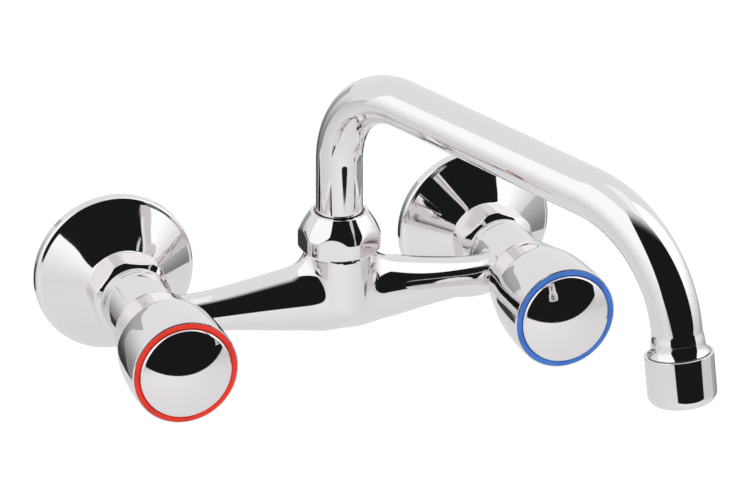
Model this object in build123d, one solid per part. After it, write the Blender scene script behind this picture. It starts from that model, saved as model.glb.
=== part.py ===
from build123d import *
import math
import os

# A two-handle kitchen mixer for a wall: two inlets, a cast bridge that carries both valves,
# and a bent spout that swings on the bridge.
#
# Millimetres. The wall is the plane y = 0 and the user stands towards -Y. +Z is up and +X is
# the cold side. The origin is on the wall, midway between the two valve axes.
#
# Sizes along a valve are distances from the wall. Sizes along the outlet are distances past
# the lip of the aerator's housing, against the flow when negative.

# ---- Fits -------------------------------------------------------------------------------
running_gap = 0.05      # radial, between a turning piece and its bore
thread_gap = 0.05       # radial, between the plain cylinders that stand for two threads
seat_gap = 0.05         # axial, between two faces that only just meet
free_gap = 0.4          # where two pieces pass each other without touching
lift_room = 0.2         # left over behind a sliding piece at the end of its travel
screw_clearance = 0.2   # radial, around a screw that passes through
cut_margin = 1.0        # how far a cutting solid reaches past the face that it opens

# ---- Main lines -------------------------------------------------------------------------
valve_pitch = 150.0     # between the hot and the cold valve axes
spout_distance = 53.4   # spout axis, in front of the wall
spout_swing = 24.5      # how far the spout is turned towards +X as it stands, in degrees

# ---- Wall flange and inlet union --------------------------------------------------------
flange_radius = 31.8
flange_depth = 18.0
flange_edge = 2.8       # straight part of the rim
flange_round = 1.6      # rounding between the rim and the face
flange_neck_radius = 14.4
flange_wall = 1.4
flange_shape = ((0.66, 0.36), (0.33, 0.7))      # face, as shares of its reach and its rise
union_offset = 8.0      # how far the wall thread lies below the valve axis
wall_thread_radius = 10.4775     # G1/2, outside
wall_thread_length = 14.0
wall_bore_radius = 7.5
union_thread_radius = 12.64      # G3/4, at the pitch line
union_bore_radius = 8.5
union_bend_depth = 11.0          # where the eccentric neck meets the straight thread
union_engagement = 6.1           # thread inside the nut
washer_thickness = 2.0
nut_flats = 29.5
nut_corner_radius = 15.9
nut_chamfer_radius = 14.2
nut_chamfer_angle = 30.0
nut_lip = 2.0
nut_turns = {"hot": -10.0, "cold": -20.0}       # from a flat on top, in degrees
tail_collar = 2.5
tail_shank_radius = 9.6
tail_bore_flats = 12.0
tail_thread_length = 7.0

# ---- Bridge -----------------------------------------------------------------------------
barrel_radius = 13.4
barrel_edge = 0.6
seat_wall = 2.7
seat_lip = 1.0
seat_lip_width = 1.2
seat_hole_radius = 5.5
barrel_thread_radius = 9.9       # G1/2, at the pitch line
bonnet_thread_length = 5.0
arm_end_radius = 7.4
arm_middle_radius = 14.2
arm_bow = 4.2           # how far the arms stand back from the spout axis at the barrels
arm_rise = 2.4          # how far the middle of the arms lies above the valve axes
arm_steps = 5           # sections of each arm, from the middle to the barrel
arm_bore_radius = 3.8
hub_radius = 13.2
hub_shoulder = 21.0     # height of the step under the spout nut
hub_blend = 6.0         # fillet between the hub and the arms
hub_bore_radius = 8.0
hub_bore_bottom = -4.0

# ---- Spout joint ------------------------------------------------------------------------
spigot_radius = 12.6             # thread on top of the hub, at the pitch line
spigot_length = 5.6
tail_radius = 10.0
tail_bore_radius = 6.5
socket_depth = 16.0              # of the spout's tail, below the top of the spigot
tail_seal_shares = (0.3, 0.62)   # places of the two O-rings, up from the tail's end
glide_thickness = 0.6            # low-friction washer under the tail's collar
collar_radius = 11.4
collar_height = 6.5
thrust_thickness = 1.0
thrust_slot = 1.5                # opening of the split ring
spout_nut_top = 36.6
spout_nut_top_radius = 11.2
spout_nut_cone = 8.8             # height of the cone above the flats' corners
spout_nut_bulge = 0.25           # of the cone, at half its height
spout_nut_hole_radius = 9.7
spout_nut_turn = -27.0           # in degrees, from a corner on the cold side
o_ring_radius = 1.0
groove_room = 0.1       # on each side of an O-ring, along its groove

# ---- Spout ------------------------------------------------------------------------------
tube_radius = 9.0
tube_wall = 1.0
riser_top = 57.5
first_bend_radius = 31.5
run_slope = 4.1         # degrees below level, away from the riser
run_length = 94.0
second_bend_radius = 46.6
second_bend_turn = 76.4
tube_end_length = 8.2
tube_end_radius = 9.5

# ---- Aerator ----------------------------------------------------------------------------
collar_flare_length = 4.5
collar_flare_middle = 9.8        # radius half-way along the flare
collar_flare_radius = 11.0
aerator_thread_radius = 10.7     # M22, at the pitch line
aerator_thread_length = 6.5
aerator_bore_radius = 7.4
housing_radius = 12.3
housing_length = 18.2
housing_round = 3.8
housing_lip = 1.2
housing_floor = 2.0
outlet_radius = 8.6
gasket_thickness = 2.0
insert_radius = 10.2
insert_wall = 1.4
insert_rib = 0.8
insert_plate = 1.2
insert_plate_depth = 1.0         # from the top of the insert
insert_jet_radius = 0.6
insert_jets = ((6, 2.6), (12, 6.2))      # how many, and on what radius
mesh_thickness = 0.6
mesh_hole = 1.2
mesh_pitch = 1.8

# ---- Valve ------------------------------------------------------------------------------
valve_lift = 5.0        # travel of the jumper from shut to full flow
seat_washer_radius = 6.9
seat_washer_thickness = 2.5
jumper_floor = 1.8
jumper_rim = 0.7
jumper_neck_radius = 4.0
jumper_neck = 3.2
guide_flats = 11.0
guide_gap = 0.1         # across each flat of the jumper's guide
guide_length = 4.5
jumper_thread_radius = 2.5
jumper_thread_length = 9.5
washer_screw_radius = 1.5
washer_screw_head_radius = 3.2
washer_screw_head = 1.5
washer_screw_length = 6.5
slot_width = 0.8
slot_depth = 0.6
bonnet_gasket = 0.8
bonnet_flange_radius = 12.4
bonnet_flange = 2.2
bonnet_flats = 21.0
bonnet_hex = 6.0
bonnet_neck_radius = 7.4
bonnet_neck = 4.6
spindle_radius = 4.5
spindle_collar_radius = 5.4
spindle_collar = 2.0
spindle_groove_depth = 1.2
spindle_seal_pitch = 3.0
circlip_thickness = 0.8
circlip_radius = 6.2
circlip_groove_depth = 0.8
circlip_opening = 3.0
spline_radius = 4.0
spline_tooth = 0.35
spline_teeth = 20
spline_length = 8.0

# ---- Handle -----------------------------------------------------------------------------
handle_gap = 0.5        # between the barrel and the handle
handle_back_radius = 13.8
handle_shoulder = 2.2   # depth of the rounded shoulder
handle_shoulder_radius = 15.9
handle_shoulder_middle = (15.25, 0.9)    # on the rounding: radius, and depth from the back
handle_cone_length = 19.0
handle_cone_radius = 19.5
handle_grip_shape = ((0.4, 20.3), (0.7, 20.45))  # radius at shares of the grip's length
handle_length = 41.5
handle_front_radius = 20.25
handle_front_bevel = 0.45
handle_wall = 2.0
handle_lip = 1.2        # depth of the narrow mouth behind
web_thickness = 3.0
boss_radius = 7.0
cap_shank_radius = 15.9
cap_shank = 8.0
cap_wall = 1.3
cap_lip_radius = 17.35
cap_edge = 1.3          # rounding between the cap's side and its dome
cap_sink = 0.2          # how far the rounding starts behind the face of the ring
dome_radius = 38.0
ring_radius = 19.6
ring_width = 2.2
ring_thickness = 2.5
ring_proud = 0.4        # how far the ring stands out of the handle
handle_screw_radius = 2.0
handle_screw_head_radius = 4.0
handle_screw_head = 3.0
handle_screw_length = 7.0
cross_length = 5.0
cross_width = 1.0
cross_depth = 1.2

# ---- Places that follow from the sizes --------------------------------------------------
nut_back = flange_depth + free_gap
union_face = nut_back + union_engagement
tail_back = union_face + washer_thickness
nut_front = tail_back + tail_collar + nut_lip
barrel_back = nut_front + free_gap
tail_front = barrel_back + tail_thread_length
seat_wall_back = tail_front + free_gap
seat_wall_front = seat_wall_back + seat_wall
seat = seat_wall_front + seat_lip
seat_washer_back = seat + seat_gap
cup_back = seat_washer_back + seat_washer_thickness
disc_front = cup_back + jumper_floor
guide_back = disc_front + jumper_neck
guide_front = guide_back + guide_length
jumper_tip = guide_front + jumper_thread_length
skirt_back = disc_front + valve_lift + lift_room
barrel_front = skirt_back + bonnet_thread_length
bonnet_seat = barrel_front + bonnet_gasket
bonnet_hex_back = bonnet_seat + bonnet_flange
bonnet_neck_back = bonnet_hex_back + bonnet_hex
bonnet_front = bonnet_neck_back + bonnet_neck
guide_end = guide_front + valve_lift + lift_room
spindle_back = guide_end + free_gap
thrust_face = spindle_back + spindle_collar
circlip_back = bonnet_front + seat_gap
circlip_front = circlip_back + circlip_thickness
spline_back = circlip_front + free_gap
spline_front = spline_back + spline_length
handle_back = barrel_front + handle_gap
handle_front = handle_back + handle_length
web_front = spline_front + web_thickness
ring_front = handle_front + ring_proud
ring_back = ring_front - ring_thickness
glide_seat = hub_shoulder + spigot_length
collar_seat = glide_seat + glide_thickness
collar_top = collar_seat + collar_height
nut_shelf = collar_top + thrust_thickness + seat_gap
tail_bottom = glide_seat - socket_depth
tube_start = collar_seat + tube_wall
arm_reach = valve_pitch / 2 - barrel_radius
nut_drop = (nut_corner_radius - nut_chamfer_radius) * math.tan(math.radians(nut_chamfer_angle))
sides = {"hot": -1, "cold": 1}


# ---- Helpers ----------------------------------------------------------------------------
def arc(start, middle, end):
    """Arc of a turned outline through three (radius, height) points."""
    return ThreePointArc(*[(r, 0, h) for r, h in (start, middle, end)])


def curve(*points):
    """Smooth curve of a turned outline through (radius, height) points."""
    return Spline(*[(r, 0, h) for r, h in points])


def turned(*outline):
    """Solid of revolution about Z. The outline lists (radius, height) corners and curves."""
    edges = []
    here = None
    for item in (*outline, outline[0]):
        if isinstance(item, tuple):
            corner = Vector(item[0], 0, item[1])
        else:
            corner = item @ 0
        if here is not None and (corner - here).length > 1e-6:
            edges.append(Line(here, corner))
        if isinstance(item, tuple):
            here = corner
        else:
            edges.append(item)
            here = item @ 1
    return revolve(make_face(edges), axis=Axis.Z)


def disc(radius, low, high):
    """Plain cylinder about Z between two heights."""
    return Pos(0, 0, low) * extrude(Circle(radius), high - low)


def ring(outer, inner, low, high):
    """Plain ring about Z between two heights."""
    return disc(outer, low, high) - disc(inner, low - cut_margin, high + cut_margin)


def hexagon(flats, low, high):
    """Six-sided prism about Z between two heights."""
    outline = RegularPolygon(radius=flats / 2, side_count=6, major_radius=False)
    return Pos(0, 0, low) * extrude(outline, high - low)


def torus(middle_radius, section_radius, height):
    """O-ring about Z."""
    section = Pos(middle_radius, 0, height) * (Rot(90, 0, 0) * Circle(section_radius))
    return revolve(section, axis=Axis.Z)


def star(radius, low, high):
    """Serrated prism about Z, with the teeth of the spindle's end."""
    step = math.pi / spline_teeth
    corners = []
    for index in range(2 * spline_teeth):
        reach = radius - spline_tooth * (index % 2)
        corners.append((reach * math.cos(index * step), reach * math.sin(index * step)))
    return Pos(0, 0, low) * extrude(make_face(Polyline(*corners, close=True)), high - low)


def on_valve(side, shape):
    """Puts a shape drawn along Z on a valve axis, its heights measured from the wall."""
    axis = Plane(origin=(side * valve_pitch / 2, 0, 0), x_dir=(1, 0, 0), z_dir=(0, -1, 0))
    return axis * shape


def on_spout(shape):
    """Puts a shape drawn about Z on the spout's swivel axis."""
    return Pos(0, -spout_distance, 0) * shape


def save(name, *solids):
    """Writes one sub-part, as one solid or as a group of separate solids."""
    shape = solids[0] if len(solids) == 1 else Compound(children=list(solids))
    export_step(shape, f"parts/{name}.step")


# ---- Wall flange and inlet union --------------------------------------------------------
def wall_flange():
    """Thin trumpet that covers the hole in the wall."""
    face = flange_edge + flange_round
    rise = flange_depth - face
    reach = flange_radius - flange_round - flange_neck_radius
    corner = flange_round * math.sqrt(0.5)
    face_points = [
        (flange_neck_radius + across * reach, face + along * rise) for across, along in flange_shape
    ]
    wall_points = [(r - flange_wall, h - flange_wall) for r, h in reversed(face_points)]
    hole = union_thread_radius + thread_gap
    return turned(
        (flange_radius - flange_wall, 0),
        (flange_radius, 0),
        (flange_radius, flange_edge),
        arc(
            (flange_radius, flange_edge),
            (flange_radius - flange_round + corner, flange_edge + corner),
            (flange_radius - flange_round, face),
        ),
        curve(
            (flange_radius - flange_round, face),
            *face_points,
            (flange_neck_radius, flange_depth),
        ),
        (hole, flange_depth),
        curve(
            (hole, flange_depth - 3 * flange_wall),
            *wall_points,
            (flange_radius - flange_wall, flange_edge - flange_wall),
        ),
    )


def eccentric_union():
    """Offset connector: wall thread behind, union thread in front, a bent waterway between."""
    low = Pos(0, -union_offset, 0)
    high = Pos(0, 0, union_bend_depth)
    neck = loft([low * Circle(wall_thread_radius), high * Circle(union_thread_radius)])
    passage = loft([low * Circle(wall_bore_radius), high * Circle(union_bore_radius)])
    outside = neck + low * disc(wall_thread_radius, -wall_thread_length, 0)
    outside += disc(union_thread_radius, union_bend_depth, union_face)
    inside = passage + low * disc(wall_bore_radius, -wall_thread_length - cut_margin, 0)
    inside += disc(union_bore_radius, union_bend_depth, union_face + cut_margin)
    return outside - inside


def union_nut(turn):
    """Nut that pulls the tailpiece against the washer and the connector."""
    blank = turned(
        (0, nut_back),
        (nut_chamfer_radius, nut_back),
        (nut_corner_radius, nut_back + nut_drop),
        (nut_corner_radius, nut_front - nut_drop),
        (nut_chamfer_radius, nut_front),
        (0, nut_front),
    )
    nut = blank & (Rot(0, 0, turn) * hexagon(nut_flats, nut_back, nut_front))
    nut -= disc(union_thread_radius + thread_gap, nut_back - cut_margin, nut_front - nut_lip)
    return nut - disc(tail_shank_radius + free_gap, nut_back, nut_front + cut_margin)


def inlet_washer():
    """Flat sealing washer inside the union."""
    return ring(union_thread_radius - free_gap, union_bore_radius, union_face, tail_back)


def tailpiece():
    """Collared insert that screws into the barrel and keeps the union nut on it."""
    collar = disc(union_thread_radius - free_gap, tail_back, tail_back + tail_collar)
    shank = disc(tail_shank_radius, tail_back, tail_front)
    key = hexagon(tail_bore_flats, tail_back - cut_margin, tail_front + cut_margin)
    return collar + shank - key


# ---- Bridge -----------------------------------------------------------------------------
def arm_station(x):
    """Cross-section of the arms at x: centre and radius, swelling smoothly to the middle."""
    share = math.cos(math.pi / 2 * x / arm_reach) ** 2
    centre = (x, -spout_distance + arm_bow * (1 - share), arm_rise * share)
    return centre, arm_end_radius + (arm_middle_radius - arm_end_radius) * share


def arms():
    """Both arms and the belly between them, from one barrel to the other."""
    sections = []
    for step in range(-arm_steps, arm_steps + 1):
        centre, radius = arm_station(arm_reach * step / arm_steps)
        sections.append(Plane(origin=centre, x_dir=(0, 1, 0), z_dir=(1, 0, 0)) * Circle(radius))
    return loft(sections)


def arm_end(side, radius):
    """Plain round run that takes an arm, or its waterway, on into its barrel."""
    centre, _ = arm_station(side * arm_reach)
    plane = Plane(origin=centre, x_dir=(0, 1, 0), z_dir=(side, 0, 0))
    return plane * extrude(Circle(radius), barrel_radius)


def waterway(side):
    """Drilling from the middle of the hub through an arm and into its barrel."""
    middle = Vector(0, -spout_distance, 0)
    direction = Vector(*arm_station(side * arm_reach)[0]) - middle
    drilling = Plane(origin=middle, z_dir=direction) * extrude(
        Circle(arm_bore_radius), direction.length
    )
    return drilling + arm_end(side, arm_bore_radius)


def barrel():
    """Outside of one valve barrel."""
    return turned(
        (0, barrel_back),
        (barrel_radius - barrel_edge, barrel_back),
        (barrel_radius, barrel_back + barrel_edge),
        (barrel_radius, barrel_front - barrel_edge),
        (barrel_radius - barrel_edge, barrel_front),
        (0, barrel_front),
    )


def barrel_space():
    """Inside of one valve barrel: inlet thread, seat hole with its raised lip, and chamber."""
    chamber_radius = barrel_thread_radius + thread_gap
    lip_radius = seat_hole_radius + seat_lip_width
    inlet_radius = tail_shank_radius + thread_gap
    inlet = disc(inlet_radius, barrel_back - cut_margin, seat_wall_back)
    hole = disc(seat_hole_radius, seat_wall_back - cut_margin, seat + cut_margin)
    chamber = disc(chamber_radius, seat_wall_front, barrel_front + cut_margin)
    lip = ring(lip_radius, seat_hole_radius, seat_wall_front, seat)
    return inlet + hole + (chamber - lip)


def leaves_arms(edge):
    """Whether an edge lies on the hub's side, where the hub rises out of the arms."""
    point = edge @ 0.5
    reach = math.hypot(point.X, point.Y + spout_distance)
    return abs(reach - hub_radius) < seat_gap and point.Z < hub_shoulder - seat_gap


def bridge_body():
    """Cast body: two barrels, two arms, and the hub that carries the spout."""
    body = arms() + on_spout(disc(hub_radius, arm_rise, hub_shoulder))
    seam = [edge for edge in body.edges().filter_by(GeomType.BSPLINE) if leaves_arms(edge)]
    body = fillet(seam, hub_blend)
    for side in sides.values():
        body += arm_end(side, arm_end_radius) + on_valve(side, barrel())
    body += on_spout(disc(spigot_radius, hub_shoulder - cut_margin, glide_seat))
    socket_bottom = tail_bottom - 2 * seat_gap
    body -= on_spout(disc(hub_bore_radius, hub_bore_bottom, socket_bottom))
    body -= on_spout(disc(tail_radius + running_gap, socket_bottom, glide_seat + cut_margin))
    for side in sides.values():
        body -= waterway(side)
        body -= on_valve(side, barrel_space())
    return body


# ---- Spout joint ------------------------------------------------------------------------
def spout_nut():
    """Domed hexagon nut that holds the spout's collar down on the hub."""
    bottom = hub_shoulder + seat_gap
    shoulder = spout_nut_top - spout_nut_cone
    middle = (nut_corner_radius + spout_nut_top_radius) / 2
    blank = turned(
        (0, bottom),
        (nut_chamfer_radius, bottom),
        (nut_corner_radius, bottom + nut_drop),
        (nut_corner_radius, shoulder),
        arc(
            (nut_corner_radius, shoulder),
            (middle + spout_nut_bulge, shoulder + spout_nut_cone / 2),
            (spout_nut_top_radius, spout_nut_top),
        ),
        (0, spout_nut_top),
    )
    flats = hexagon(nut_flats, hub_shoulder, spout_nut_top + cut_margin)
    blank &= Rot(0, 0, spout_nut_turn) * flats
    blank -= disc(spigot_radius + thread_gap, hub_shoulder - cut_margin, glide_seat + free_gap)
    blank -= disc(collar_radius + free_gap, glide_seat, nut_shelf)
    return blank - disc(spout_nut_hole_radius, glide_seat, spout_nut_top + cut_margin)


def glide_washer():
    """Low-friction washer that the spout's collar turns on."""
    return ring(collar_radius, tail_radius + free_gap, glide_seat, collar_seat - seat_gap)


def thrust_ring():
    """Split ring over the spout's collar, opened at one side so that it snaps on the tube."""
    low = collar_top + seat_gap
    high = low + thrust_thickness - seat_gap
    slot = Box(thrust_slot, collar_radius, 2 * thrust_thickness + cut_margin)
    band = ring(collar_radius, tube_radius + free_gap, low, high)
    return Rot(0, 0, 90) * (band - Pos(0, collar_radius, low) * slot)


def tail_seal_heights():
    """Heights of the two O-rings on the spout's tail."""
    return [tail_bottom + socket_depth * share for share in tail_seal_shares]


def spout_tail():
    """Brass tail brazed to the tube: sealing barrel, two grooves and the retaining collar."""
    groove_radius = tail_radius - 2 * o_ring_radius
    half = o_ring_radius + groove_room
    tail = disc(tail_radius, tail_bottom, collar_seat)
    tail += disc(collar_radius, collar_seat, collar_top)
    for height in tail_seal_heights():
        tail -= ring(tail_radius + cut_margin, groove_radius, height - half, height + half)
    tail -= disc(tail_bore_radius, tail_bottom - cut_margin, collar_top)
    return tail - disc(tube_radius + thread_gap, tube_start, collar_top + cut_margin)


def tail_seals():
    """The two O-rings, as they lie squeezed in their grooves."""
    middle = tail_radius - o_ring_radius
    return [torus(middle, o_ring_radius - seat_gap, height) for height in tail_seal_heights()]


# ---- Spout ------------------------------------------------------------------------------
def spout_plane():
    """Upright plane of the bent tube: its X runs away from the riser and its Y is up."""
    swing = math.radians(spout_swing)
    away = (math.sin(swing), -math.cos(swing), 0)
    across = (-math.cos(swing), -math.sin(swing), 0)
    return Plane(origin=(0, -spout_distance, 0), x_dir=away, z_dir=across)


def spout_route():
    """Centre line of the tube, from inside the tail to the end of the second bend."""
    riser = Line((0, tube_start + seat_gap), (0, riser_top))
    first = JernArc(
        start=riser @ 1, tangent=riser % 1, radius=first_bend_radius, arc_size=-(90 + run_slope)
    )
    run = Line(first @ 1, first @ 1 + run_length * (first % 1))
    second = JernArc(
        start=run @ 1, tangent=run % 1, radius=second_bend_radius, arc_size=-second_bend_turn
    )
    return [spout_plane() * piece for piece in (riser, first, run, second)]


def outlet_plane():
    """Plane at the lip of the aerator's housing, its Z along the flow."""
    last = spout_route()[-1]
    flow = last % 1
    return Plane(origin=last @ 1 + tube_end_length * flow, x_dir=spout_plane().z_dir, z_dir=flow)


def spout_tube():
    """Bent tube with a slightly expanded end."""
    route = Wire(spout_route())
    start = Plane(origin=route @ 0, z_dir=route % 0)
    tube = sweep(start * Circle(tube_radius), path=route)
    tube -= sweep(start * Circle(tube_radius - tube_wall), path=route)
    end = turned(
        (tube_radius - tube_wall, -tube_end_length),
        (tube_radius, -tube_end_length),
        (tube_end_radius, -collar_flare_length),
        (tube_end_radius - tube_wall, -collar_flare_length),
    )
    return tube + outlet_plane() * end


# ---- Aerator ----------------------------------------------------------------------------
def aerator_collar():
    """Threaded end piece brazed into the tube, flaring out to the aerator's housing."""
    flare = curve(
        (tube_end_radius, -collar_flare_length),
        (collar_flare_middle, -collar_flare_length / 2),
        (collar_flare_radius, -seat_gap),
    )
    spigot_top = -tube_end_length + free_gap
    return turned(
        (aerator_bore_radius, spigot_top),
        (tube_radius - tube_wall - thread_gap, spigot_top),
        (tube_end_radius - tube_wall - thread_gap, -collar_flare_length),
        flare,
        (aerator_thread_radius, -seat_gap),
        (aerator_thread_radius, aerator_thread_length),
        (aerator_bore_radius, aerator_thread_length),
    )


def aerator_housing():
    """Cup that screws on the collar and holds the insert: rounded below, thin-lipped above."""
    bend = housing_round * (1 - math.sqrt(0.5))
    cavity = insert_radius + 2 * running_gap
    thread = aerator_thread_radius + thread_gap
    return turned(
        (collar_flare_radius + free_gap, 0),
        (housing_radius, 0),
        (housing_radius, housing_length - housing_round),
        arc(
            (housing_radius, housing_length - housing_round),
            (housing_radius - bend, housing_length - bend),
            (housing_radius - housing_round, housing_length),
        ),
        (outlet_radius, housing_length),
        (outlet_radius, housing_length - housing_floor),
        (cavity, housing_length - housing_floor),
        (cavity, aerator_thread_length),
        (thread, aerator_thread_length),
        (thread, housing_lip),
        (collar_flare_radius + free_gap, housing_lip),
    )


def aerator_gasket():
    """Rubber ring between the collar's end and the insert."""
    low = aerator_thread_length + seat_gap
    return ring(insert_radius, aerator_bore_radius, low, low + gasket_thickness)


def aerator_insert():
    """Plastic flow straightener: a cup with ribs across it and two rings of jets."""
    low = aerator_thread_length + 2 * seat_gap + gasket_thickness
    high = housing_length - housing_floor - mesh_thickness - 2 * seat_gap
    plate_low = low + insert_plate_depth
    plate_high = plate_low + insert_plate
    insert = ring(insert_radius, insert_radius - insert_wall, low, high)
    insert += disc(insert_radius, plate_low, plate_high)
    bar = Rectangle(2 * insert_radius - insert_wall, insert_rib)
    rib = Pos(0, 0, plate_low) * extrude(bar, high - plate_low)
    for turn in (0, 60, 120):
        insert += Rot(0, 0, turn) * rib
    for count, radius in insert_jets:
        for place in PolarLocations(radius, count):
            insert -= place * disc(insert_jet_radius, low, plate_high)
    return insert


def aerator_mesh():
    """Outlet screen: a thin disc with a square grid of holes."""
    high = housing_length - housing_floor - seat_gap
    screen = disc(insert_radius, high - mesh_thickness, high)
    holes = []
    reach = outlet_radius - mesh_hole
    count = int(reach / mesh_pitch)
    for column in range(-count, count + 1):
        for row in range(-count, count + 1):
            x = column * mesh_pitch
            y = row * mesh_pitch
            if math.hypot(x, y) < reach:
                holes.append(Pos(x, y, high) * Box(mesh_hole, mesh_hole, 4 * mesh_thickness))
    return screen - holes


# ---- Valve ------------------------------------------------------------------------------
def seat_washer():
    """Rubber washer that shuts the seat."""
    hole = washer_screw_radius + screw_clearance
    return ring(seat_washer_radius, hole, seat_washer_back, cup_back)


def washer_screw():
    """Screw that holds the washer in the jumper's cup."""
    head_back = seat_washer_back - washer_screw_head
    head = disc(washer_screw_head_radius, head_back, seat_washer_back)
    slot = Box(3 * washer_screw_head_radius, slot_width, 2 * slot_depth)
    shank_end = seat_washer_back + washer_screw_length
    shank = disc(washer_screw_radius, seat_washer_back, shank_end)
    return head - Pos(0, 0, head_back) * slot + shank


def jumper():
    """Sliding valve piece: cup, guide hexagon and the thread that the spindle drives."""
    rim_back = cup_back - seat_washer_thickness / 2
    body = disc(seat_washer_radius + jumper_rim, rim_back, disc_front)
    body -= disc(seat_washer_radius + seat_gap, rim_back - cut_margin, cup_back)
    body += disc(jumper_neck_radius, disc_front, guide_back)
    body += hexagon(guide_flats, guide_back, guide_front)
    body += disc(jumper_thread_radius, guide_front, jumper_tip)
    hole_end = seat_washer_back + washer_screw_length + free_gap
    return body - disc(washer_screw_radius + thread_gap, rim_back, hole_end)


def bonnet_gasket_ring():
    """Fibre ring between the barrel and the bonnet."""
    inner = barrel_thread_radius + 2 * thread_gap
    return ring(bonnet_flange_radius, inner, barrel_front, bonnet_seat)


def bonnet():
    """Headwork body: screws into the barrel, guides the jumper and carries the spindle."""
    body = disc(barrel_thread_radius, skirt_back, bonnet_seat)
    body += disc(bonnet_flange_radius, bonnet_seat, bonnet_hex_back)
    body += hexagon(bonnet_flats, bonnet_hex_back, bonnet_neck_back)
    body += disc(bonnet_neck_radius, bonnet_neck_back, bonnet_front)
    body -= hexagon(guide_flats + 2 * guide_gap, skirt_back - cut_margin, guide_end)
    body -= disc(spindle_collar_radius + running_gap, guide_end, thrust_face + seat_gap)
    return body - disc(spindle_radius + running_gap, guide_end, bonnet_front + cut_margin)


def spindle_seal_heights():
    """Places of the two O-rings along the spindle."""
    middle = (thrust_face + bonnet_front) / 2
    return [middle - spindle_seal_pitch / 2, middle + spindle_seal_pitch / 2]


def spindle():
    """Turning spindle: threaded bore behind, two seal grooves, clip groove, serrated end."""
    body = disc(spindle_collar_radius, spindle_back, thrust_face)
    body += disc(spindle_radius, thrust_face, spline_back)
    body += star(spline_radius, spline_back, spline_front)
    groove_radius = spindle_radius - spindle_groove_depth
    outer = spindle_radius + cut_margin
    half = spindle_groove_depth / 2 + groove_room
    for place in spindle_seal_heights():
        body -= ring(outer, groove_radius, place - half, place + half)
    clip_radius = spindle_radius - circlip_groove_depth
    body -= ring(outer, clip_radius, circlip_back - seat_gap, circlip_front + seat_gap)
    thread_end = jumper_tip + valve_lift + free_gap
    body -= disc(jumper_thread_radius + running_gap, spindle_back - cut_margin, thread_end)
    screw_end = web_front - handle_screw_length - free_gap
    return body - disc(handle_screw_radius + thread_gap, screw_end, spline_front + cut_margin)


def spindle_seals():
    """The two O-rings of the spindle."""
    section = (spindle_groove_depth - seat_gap) / 2
    middle = spindle_radius - spindle_groove_depth / 2
    return [torus(middle, section, place) for place in spindle_seal_heights()]


def circlip():
    """Open spring clip that keeps the spindle in the bonnet."""
    inner = spindle_radius - circlip_groove_depth + seat_gap
    clip = ring(circlip_radius, inner, circlip_back, circlip_front)
    opening = Box(2 * circlip_radius, circlip_opening, 2 * circlip_thickness + cut_margin)
    return clip - Pos(circlip_radius, 0, circlip_back) * opening


# ---- Handle -----------------------------------------------------------------------------
def handle():
    """Round grip: thin shell behind, a web with the serrated boss, and a pocket in front."""
    shoulder = handle_back + handle_shoulder
    cone_end = handle_back + handle_cone_length
    bevel_back = handle_front - handle_front_bevel
    middle_radius, middle_depth = handle_shoulder_middle
    grip = handle_front - cone_end
    grip_points = [(radius, cone_end + share * grip) for share, radius in handle_grip_shape]
    blank = turned(
        (0, handle_back),
        (handle_back_radius, handle_back),
        arc(
            (handle_back_radius, handle_back),
            (middle_radius, handle_back + middle_depth),
            (handle_shoulder_radius, shoulder),
        ),
        (handle_cone_radius, cone_end),
        curve(
            (handle_cone_radius, cone_end),
            *grip_points,
            (handle_front_radius, bevel_back),
        ),
        (handle_front_radius - handle_front_bevel, handle_front),
        (0, handle_front),
    )
    mouth_radius = bonnet_flange_radius + free_gap
    web_back = spline_front + seat_gap
    hollow = turned(
        (0, handle_back - cut_margin),
        (mouth_radius, handle_back - cut_margin),
        (mouth_radius, handle_back + handle_lip),
        (handle_shoulder_radius - handle_wall, shoulder + 2 * handle_wall),
        (handle_cone_radius - handle_wall, cone_end),
        (handle_cone_radius - handle_wall, web_back),
        (0, web_back),
    )
    body = blank - hollow + disc(boss_radius, spline_back, web_back + seat_gap)
    body -= star(spline_radius + running_gap, spline_back - cut_margin, web_back)
    screw_hole = handle_screw_radius + screw_clearance
    body -= disc(screw_hole, web_back - cut_margin, web_front + cut_margin)
    body -= disc(cap_shank_radius + running_gap, web_front, handle_front + cut_margin)
    return body - disc(ring_radius + running_gap, ring_back, handle_front + cut_margin)


def index_ring():
    """Coloured ring that tells hot from cold."""
    return ring(ring_radius, ring_radius - ring_width, ring_back, ring_front)


def cap():
    """Domed chrome cap that plugs the handle and covers its screw."""
    inner_radius = cap_shank_radius - cap_wall
    edge_radius = cap_lip_radius - cap_edge
    edge_depth = ring_front - cap_sink - cap_edge
    tilt = math.asin(edge_radius / (dome_radius - cap_edge))
    ball_depth = edge_depth - (dome_radius - cap_edge) * math.cos(tilt)
    rim = dome_radius * math.sin(tilt)

    def edge(share):
        """Point of the rounded edge: 0 on the cap's side, 1 where the dome starts."""
        turn = share * (math.pi / 2 - tilt)
        return (edge_radius + cap_edge * math.cos(turn), edge_depth + cap_edge * math.sin(turn))

    def dome(radius, wall):
        """Point of the dome, or of the same dome set back by the wall."""
        return (radius, ball_depth + math.sqrt((dome_radius - wall) ** 2 - radius**2))

    return turned(
        dome(0, cap_wall),
        arc(dome(0, cap_wall), dome(inner_radius / 2, cap_wall), dome(inner_radius, cap_wall)),
        (inner_radius, ring_back - cap_shank),
        (cap_shank_radius, ring_back - cap_shank),
        (cap_shank_radius, ring_back),
        (cap_lip_radius, ring_back),
        arc(edge(0), edge(0.5), edge(1)),
        arc(dome(rim, 0), dome(rim / 2, 0), dome(0, 0)),
    )


def handle_screw():
    """Screw that holds the handle on the spindle."""
    low = web_front + seat_gap
    high = web_front + handle_screw_head
    shank = disc(handle_screw_radius, low - handle_screw_length, high)
    bar = Box(cross_length, cross_width, 2 * cross_depth)
    cross = bar + Rot(0, 0, 90) * bar
    return disc(handle_screw_head_radius, low, high) + shank - Pos(0, 0, high) * cross


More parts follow.
